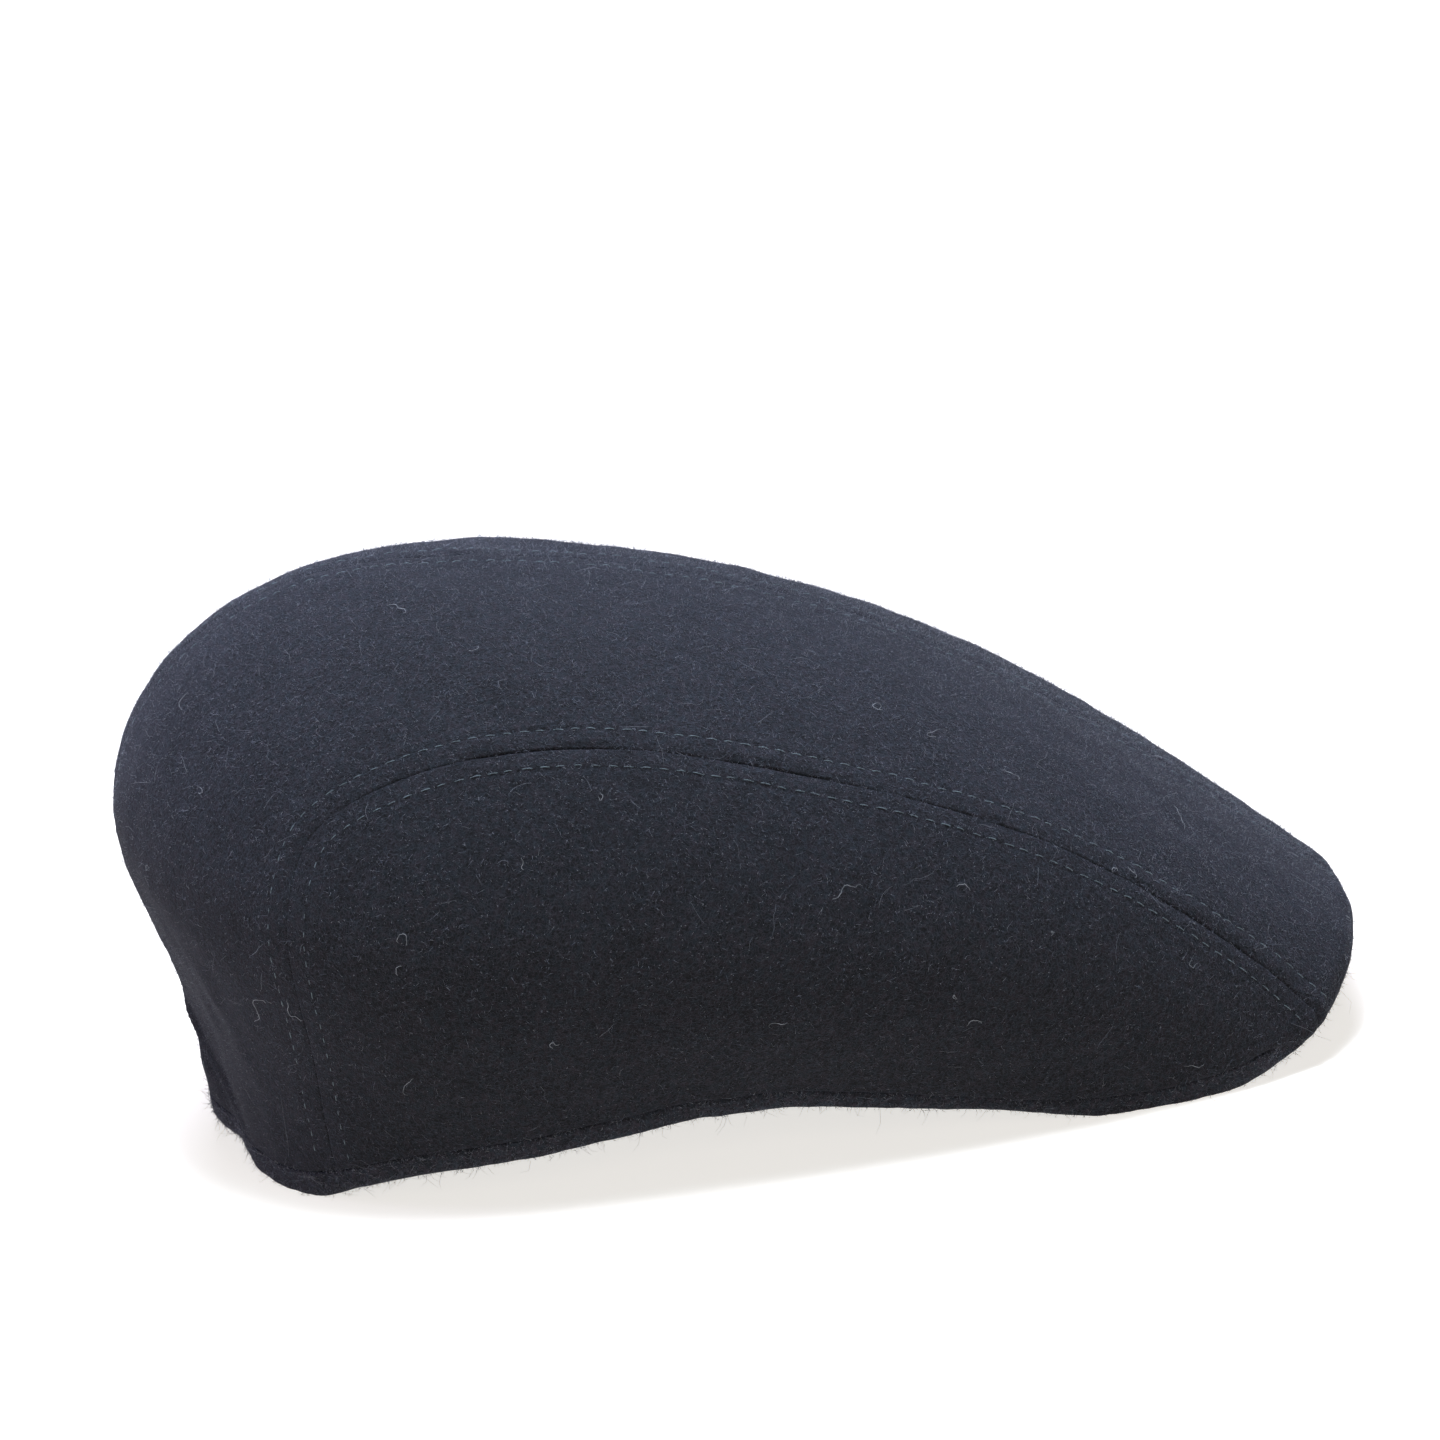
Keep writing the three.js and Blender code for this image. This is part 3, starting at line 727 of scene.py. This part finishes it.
hemAngles = np.linspace(templeAngle + endGap, 360 - templeAngle - endGap, 460)
hemInner = cap["cloth"] + cap["clearance"]
hemUnder = hemInner + cap["cloth"]
hemSteps = np.array([1.0, 0.97, 0.85, 0.7, 0.5, 0.3, 0.12, 0.0]) * hemCut["turn"]
hemRound = hemCut["edgeRound"] * (hemSteps == hemCut["turn"])
hemProfile = [(-s, hemInner + bend) for s, bend in zip(hemSteps, hemRound)]
hemProfile += closer(shallower(hemCut["lip"], grooveShare(hemAngles)), 2)
hemProfile += [(-s, hemUnder - bend) for s, bend in zip(hemSteps[::-1], hemRound[::-1])]
hemPiece = loft("hemCloth", "turned_hem", hemAngles, hemProfile)
print("hem", len(hemPiece.data.polygons), "faces")


def blended(row, at):  # values of a sampled row between its samples
    i = np.clip(np.floor(at).astype(int), 0, len(row) - 2)
    f = (at - i)[..., None]
    return row[i] * (1 - f) + row[i + 1] * f


def besideRow(places, distance):  # places on the cloth at a distance beside a line of places
    points = cloth(places)
    ahead = unit(np.gradient(points, axis=0))
    aside = unit(np.cross(inward(places), ahead))
    places = places.copy()
    moves, step = 8, 0.002
    for _ in range(moves):
        here = cloth(places)
        slopes = np.stack([(cloth(places + way) - here) / step for way in ((step, 0), (0, step))], 1)
        square = slopes @ np.swapaxes(slopes, 1, 2)
        move = np.einsum("nkc,nc->nk", slopes, aside * distance / moves)
        places += np.linalg.solve(square, move[..., None])[..., 0]
    return places


def tubes(name, paths, radii, sides, material, ups):  # tapered threads in one mesh, with closed ends
    count, size = paths.shape[:2]
    ahead = unit(np.gradient(paths, axis=1))
    across = unit(np.cross(ahead, ups))
    over = np.cross(across, ahead)
    turn = np.linspace(0, 2 * np.pi, sides, endpoint=False)
    ring = across[:, :, None] * np.cos(turn)[:, None]
    ring = ring + over[:, :, None] * np.sin(turn)[:, None]
    points = paths[:, :, None] + ring * radii[..., None, None]
    index = np.arange(count * size * sides).reshape(count, size, sides)
    a, b = index[:, :-1], index[:, 1:]
    faces = np.stack([a, np.roll(a, -1, 2), np.roll(b, -1, 2), b], -1).reshape(-1, 4).tolist()
    faces += index[:, 0, ::-1].tolist() + index[:, -1].tolist()
    piece = meshOf(name, points.reshape(-1, 3), faces, material)
    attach(piece, "root")
    print(name, count, "threads", len(faces), "faces")
    return piece


threadLook = {
    "shade": (0.098, 0.138, 0.155, 1),
    "dark": (0.036, 0.051, 0.061, 1),
    "ply": (2600, 2, 0.5),
}


def spunThread(name, look):
    thread = Recipe(name)
    ply = thread.noise(thread.place(), *look["ply"])
    shade = thread.blend(thread.span(ply, 0.4, 0.62), look["dark"], look["shade"])
    normal = thread.node("ShaderNodeBump", {}, {"Strength": 0.5, "Distance": 0.0001, "Height": ply})
    return thread.surface({"Base Color": shade, "Roughness": 0.6, "Normal": normal, "Sheen Weight": 0.2,
                           "Sheen Roughness": 0.5})


threadMaterial = spunThread("tealThread", threadLook)
pick = np.random.default_rng(31)


def stitchPaths(places, far, start, stop, sink):  # threads that dip into the cloth at both ends
    points = cloth(places)
    length = np.concatenate([[0], np.cumsum(np.linalg.norm(np.diff(points, axis=0), axis=1))])
    begins = np.arange(start, length[-1] - stop - sewing["thread"], sewing["pitch"])
    begins = begins + pick.normal(0, sewing["strayStart"], len(begins))
    spans = sewing["thread"] * pick.uniform(*sewing["stitchSpans"], len(begins))
    t = np.linspace(0, 1, len(sewing["stitchHeights"]))
    at = np.interp(begins[:, None] + spans[:, None] * t, length, np.arange(len(length)))
    where = blended(places, at)
    base, out = cloth(where), -inward(where)
    rises = np.array(sewing["stitchHeights"]) - sink * (1 - rise(at / len(length), *sewing["firmFrom"]))
    rises = rises + pick.normal(0, sewing["strayHeight"], (len(begins), 1))
    face = relief(base) + swell(base * (1, -1, 1) if far else base) + rises
    leanBy = pick.normal(0, sewing["strayLean"], (len(begins), 1, 1)) * (t[:, None] - 0.5)
    lean = np.cross(out, unit(np.gradient(base, axis=1))) * leanBy
    paths = base + out * face[..., None] + lean
    return (paths * (1, -1, 1), out * (1, -1, 1)) if far else (paths, out)


wayShares = np.linspace(0, 1, 900)
seamWay, middleWay = seamPlace(wayShares), centrePlace(wayShares)


def allowance(name, rows):  # a seam's edges pressed open inside, from rows of points across it and ways in
    rows = [(points + into * cap["cloth"], into) for points, into in rows]
    thick = sewing["allowanceThick"] * np.minimum(1, 0.35 + 1.3 * np.sin(np.linspace(0, np.pi, len(rows))))
    under = [points + into * deep for (points, into), deep in zip(rows, thick)]
    over = [points - into * sewing["allowanceOver"] for points, into in rows]
    sections = np.stack(over + under[::-1], 1)
    piece = ringMesh(name, sections, wool)
    return piece


def stretchOf(way, distance, far=False):  # points on the outer face beside a seam, and ways in
    places = besideRow(way, distance) if distance else way
    points, into = cloth(places), inward(places)
    if far:
        points, into = points * (1, -1, 1), into * (1, -1, 1)
    return points - into * swell(points)[:, None], into


reaches = np.linspace(-1, 1, 9) * sewing["allowance"]
middlePart, sidePart = (way[int(len(way) * start):int(len(way) * stop):3] for way, start, stop in
                        ((middleWay, 0.022, 0.89), (seamWay, 0.105, 0.87)))
allowance("centreAllowance", [stretchOf(middlePart, -abs(reach), reach > 0) for reach in reaches[::-1]])
for name, far in (("rightAllowance", False), ("leftAllowance", True)):
    stretches = [stretchOf(sidePart, reach, far) for reach in reaches]
    allowance(name, stretches[::-1] if far else stretches)
print("allowances ready")

stitchRows = []
for far in (False, True):
    for distance in (sewing["upperRow"], -sewing["row"]):
        stitchRows.append(stitchPaths(besideRow(seamWay, distance), far, 3.0, 4.5, sewing["sunk"]))
    stitchRows.append(stitchPaths(besideRow(middleWay, -sewing["row"]), far, 3.0, 2.5, sewing["centreSunk"]))
paths, ups = (np.concatenate([row[k] for row in stitchRows]) for k in (0, 1))
radii = np.full(paths.shape[:2], sewing["radius"]) * (0.55, 0.95, 1, 1, 1, 0.95, 0.55)
tubes("seamStitches", paths, radii, 6, threadMaterial, ups)

# nap: short fibres that lie on the cloth or stand out of it, longest along its edges
nap = {
    "count": 12500,
    "spikes": 37000,
    "spikeLength": 0.72,
    "spikeRadius": 0.046,
    "length": 1.1,
    "radius": 0.034,
    "edgeShare": 0.14,
    "edgeLength": 2.2,
    "unevenLength": 0.4,
    "scatter": 0.25,
    "rooted": 0.05,
    "shade": (0.057, 0.065, 0.100, 1),
}


def fibreMaterial(name, shade, sheen):
    fibre = Recipe(name)
    tint = fibre.noise(fibre.place(), 600, 1, 0.5)
    dark = (*(c * 0.35 for c in shade[:3]), 1)
    mixed = fibre.blend(fibre.span(tint, 0.35, 0.65), dark, shade)
    return fibre.surface({"Base Color": mixed, "Roughness": 0.7, "Sheen Weight": sheen})


bedPoints, bedOuts, bedCells = (np.concatenate([bed[k] for bed in napBeds]) for k in range(3))
bedCells = bedCells * (0.4 + 0.9 * np.maximum(0, bedOuts[:, 2]))  # raised most on top
edgePoints, edgeOuts = (np.concatenate([bed[k] for bed in edgeBeds]) for k in (0, 1))


def bentPaths(roots, outs, long, stand, bend, count, curl=0.0):  # threads that leave the cloth
    number = len(roots)
    flat = unit(np.cross(outs, unit(pick.normal(size=(number, 3)))))
    turned = unit(np.cross(outs, flat))
    t = np.linspace(0, 1, count)
    sway = pick.normal(0, 1, (number, count - 1)) * bend[:, None]
    sway = sway + curl * pick.choice([-1, 1], (number, 1))
    turn = np.cumsum(np.concatenate([np.zeros((number, 1)), sway], 1), 1)
    ways = flat[:, None] * np.cos(turn)[..., None] + turned[:, None] * np.sin(turn)[..., None]
    steps = ways * (long / (count - 1))[:, None, None]
    lift = (stand * long)[:, None] * (1 - (1 - t) ** 1.6) - nap["rooted"]
    paths = roots[:, None] + np.cumsum(steps, 1) - steps[:, :1] + outs[:, None] * lift[..., None]
    paths[..., 2] = np.maximum(paths[..., 2], 0.05)
    return paths, np.repeat(outs[:, None], count, 1)


def napRoots(count, long, edgeLong):  # places, ways out and lengths, with a share of them along the edges
    fromEdge = int(count * nap["edgeShare"])
    chosen = pick.choice(len(bedPoints), count - fromEdge, p=bedCells / bedCells.sum())
    atEdges = pick.choice(len(edgePoints), fromEdge)
    roots = np.concatenate([bedPoints[chosen], edgePoints[atEdges]])
    roots = roots + pick.normal(0, nap["scatter"], (count, 3))
    outs = np.concatenate([bedOuts[chosen], edgeOuts[atEdges]])
    lengths = np.concatenate([np.full(len(chosen), long), np.full(fromEdge, edgeLong)])
    return roots, outs, lengths * pick.lognormal(0, nap["unevenLength"], count)


def spikes(name, count):  # the shortest fibres, each a thin closed spike
    roots, outs, long = napRoots(count, nap["spikeLength"], nap["spikeLength"] * 1.3)
    flat = unit(np.cross(outs, unit(pick.normal(size=(count, 3)))))
    way = unit(flat + outs * pick.uniform(0.3, 1.8, (count, 1)))
    across = unit(np.cross(way, outs))
    roots = roots - outs * nap["rooted"]
    roots[:, 2] = np.maximum(roots[:, 2], 0.06)
    tips = roots + way * long[:, None]
    tips[:, 2] = np.maximum(tips[:, 2], 0.02)
    turn = np.arange(3) * 2 * np.pi / 3
    ring = across[:, None] * np.cos(turn)[:, None]
    ring = ring + np.cross(way, across)[:, None] * np.sin(turn)[:, None]
    base = roots[:, None] + ring * nap["spikeRadius"]
    points = np.concatenate([base, tips[:, None]], 1)
    index = np.arange(count)[:, None] * 4
    corners = ((0, 1, 3), (1, 2, 3), (2, 0, 3), (2, 1, 0))
    faces = np.concatenate([index + corner for corner in corners]).tolist()
    piece = meshOf(name, points.reshape(-1, 3), faces, napMaterial)
    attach(piece, "root")
    print(name, count, "spikes")


napMaterial = fibreMaterial("napFibre", nap["shade"], 0.3)
for name in ("napShortA", "napShortB"):
    spikes(name, nap["spikes"])
roots, outs, long = napRoots(nap["count"], nap["length"], nap["edgeLength"])
stand, bend = pick.uniform(0.1, 1.0, nap["count"]), np.full(nap["count"], 0.7)
paths, ups = bentPaths(roots, outs, long, stand, bend, 3)
radii = np.full(paths.shape[:2], nap["radius"]) * (1.0, 0.8, 0.3)
tubes("napLong", paths, radii, 3, napMaterial, ups)

# lint: pale hairs all over, and curls at their places on the near side, as angle, level and length in mm
lint = {
    "hairs": 380,
    "hairLength": 3.6,
    "hairRadius": 0.036,
    "curlRadius": 0.066,
    "strays": 16,
    "shade": (0.24, 0.25, 0.27, 1),
    "hairShade": (0.10, 0.11, 0.135, 1),
}
curlRows = np.array([
    (160, 0.52, 6), (149, 0.60, 4), (135, 0.24, 8), (71, 0.68, 9), (41, 0.49, 8), (39, 0.55, 7),
    (37, 0.62, 5), (23, 0.80, 8), (121, 0.72, 6), (122, 0.75, 3), (144, 0.82, 11), (140, 0.81, 8),
    (94, 0.86, 5), (40, 0.77, 4), (7, 0.93, 4), (75, 0.84, 3), (48, 0.88, 4), (113, 0.86, 4),
    (104, 0.62, 3), (91, 0.52, 3), (58, 0.79, 3), (62, 0.98, 5), (160, 0.72, 3), (107, 0.29, 3),
])

hairMaterial = fibreMaterial("paleHair", lint["hairShade"], 0.2)
curlMaterial = fibreMaterial("paleLint", lint["shade"], 0.0)
chosen = pick.choice(len(bedPoints), lint["hairs"], p=bedCells / bedCells.sum())
long = lint["hairLength"] * pick.lognormal(0, 0.45, lint["hairs"])
stand = pick.uniform(0.02, 0.4, lint["hairs"])
paths, ups = bentPaths(bedPoints[chosen] + bedOuts[chosen] * 0.12, bedOuts[chosen], long, stand,
                       pick.uniform(0.05, 0.5, lint["hairs"]), 7)
radii = np.full(paths.shape[:2], lint["hairRadius"]) * (0.6, 1, 1, 1, 1, 0.8, 0.4)
tubes("paleHairs", paths, radii, 3, hairMaterial, ups)

curlPlace = discPlace(curlRows[:, 0], curlRows[:, 1])
curlBase = cloth(curlPlace)
curlOut = -inward(curlPlace)
curlBase = curlBase + curlOut * (swell(curlBase) + 0.25)[:, None]
chosen = pick.choice(len(bedPoints), lint["strays"], p=bedCells / bedCells.sum())
roots = np.concatenate([curlBase, bedPoints[chosen] + bedOuts[chosen] * 0.2])
outs = np.concatenate([curlOut, bedOuts[chosen]])
long = np.concatenate([curlRows[:, 2], pick.uniform(2, 7, lint["strays"])])
paths, ups = bentPaths(roots, outs, long, 0.6 / long, np.full(len(roots), 0.5), 15, 0.2)
radii = np.full(paths.shape[:2], lint["curlRadius"]) * (0.6 + 0.4 * np.sin(np.linspace(0, np.pi, 15)))
tubes("lintCurls", paths, radii, 5, curlMaterial, ups)

# studio: camera angles in degrees, distance, floor and glow reaches in metres
studio = {
    "azimuth": 4.0,
    "elevation": 17.0,
    "roll": 6.19,
    "distance": 1.5,
    "lens": 162.1,
    "target": (1.41 - cap["shift"], 0.0, 81.58),
    "floor": (0.42, 0.385, 0.34, 1),
    "floorReach": 14,
    "aim": (0.0, 0.0, 0.07),
    "world": 0.06,
    "worldShade": (0.97, 0.98, 1, 1),
    # the floor's glow is painted light: dimmer near the cap, full further out
    "nearGlow": (0.74, 0.725, 0.70, 1),
    "farGlow": (1.0, 1.0, 1.0, 1),
    "glowFrom": (0.3, 0.8),
}

azimuth, elevation, roll = (np.radians(studio[k]) for k in ("azimuth", "elevation", "roll"))
look = Vector((np.sin(azimuth) * np.cos(elevation), np.cos(azimuth) * np.cos(elevation),
               -np.sin(elevation)))
level = Vector((np.cos(azimuth), -np.sin(azimuth), 0))
up = level.cross(look)
right = level * np.cos(roll) - up * np.sin(roll)
up = up * np.cos(roll) + level * np.sin(roll)
camera = bpy.data.objects.new("camera", bpy.data.cameras.new("camera"))
camera.data.lens, camera.data.sensor_width = studio["lens"], 36.0
camera.data.clip_end = 50
spot = Vector(studio["target"]) * mm - look * studio["distance"]
camera.matrix_world = Matrix((
    (right.x, up.x, -look.x, spot.x), (right.y, up.y, -look.y, spot.y),
    (right.z, up.z, -look.z, spot.z), (0, 0, 0, 1)))
bpy.context.scene.collection.objects.link(camera)
bpy.context.scene.camera = camera

floorMesh = bpy.data.meshes.new("floor")
edge = studio["floorReach"]
corners = [(-edge, -edge, 0), (edge, -edge, 0), (edge, edge, 0), (-edge, edge, 0)]
floorMesh.from_pydata(corners, [], [(0, 1, 2, 3)])
floor = bpy.data.objects.new("floor", floorMesh)
bpy.context.scene.collection.objects.link(floor)
# the floor glows though it is no lamp: painted light that lights the cap from below and lightens the shadow
# under it
paper = Recipe("palePaper")
grain = paper.noise(paper.place(), 900, 2, 0.5)
away = paper.node("ShaderNodeVectorMath", {"operation": "LENGTH"}, {0: paper.place()}, output=1)
glow = paper.blend(paper.span(away, *studio["glowFrom"]), studio["nearGlow"], studio["farGlow"])
floorMesh.materials.append(paper.surface({"Base Color": studio["floor"], "Roughness": grain * 0.1 + 0.85,
                                          "Emission Color": glow, "Emission Strength": 1.0}))

# lights: name, place and size in metres, power in watts, colour
lightRows = [
    ("keyLight", (-0.08, -0.1, 2.0), 0.8, 26.0, (0.73, 0.84, 1)),
    ("topLight", (-0.04, -0.05, 0.95), 0.3, 15.0, (0.73, 0.84, 1)),
    ("fillLight", (0.3, -2.0, 0.9), 1.4, 13.5, (1, 0.94, 0.88)),
    ("backLight", (0.1, 1.3, 1.8), 1.1, 62.0, (0.72, 0.75, 1)),
    ("tailLight", (-1.5, 0.6, 0.4), 0.7, 13.0, (0.68, 0.62, 1)),
]
for name, place, size, power, shade in lightRows:
    light = bpy.data.objects.new(name, bpy.data.lights.new(name, "AREA"))
    light.data.shape, light.data.size, light.data.energy, light.data.color = "DISK", size, power, shade
    light.location = place
    light.rotation_euler = (Vector(studio["aim"]) - light.location).to_track_quat("-Z", "Y").to_euler()
    bpy.context.scene.collection.objects.link(light)

world = bpy.data.worlds.new("studio")
world.use_nodes = True
world.node_tree.nodes["Background"].inputs[0].default_value = studio["worldShade"]
world.node_tree.nodes["Background"].inputs[1].default_value = studio["world"]
bpy.context.scene.world = world
bpy.context.scene.view_settings.view_transform = "Standard"

print("studio ready")
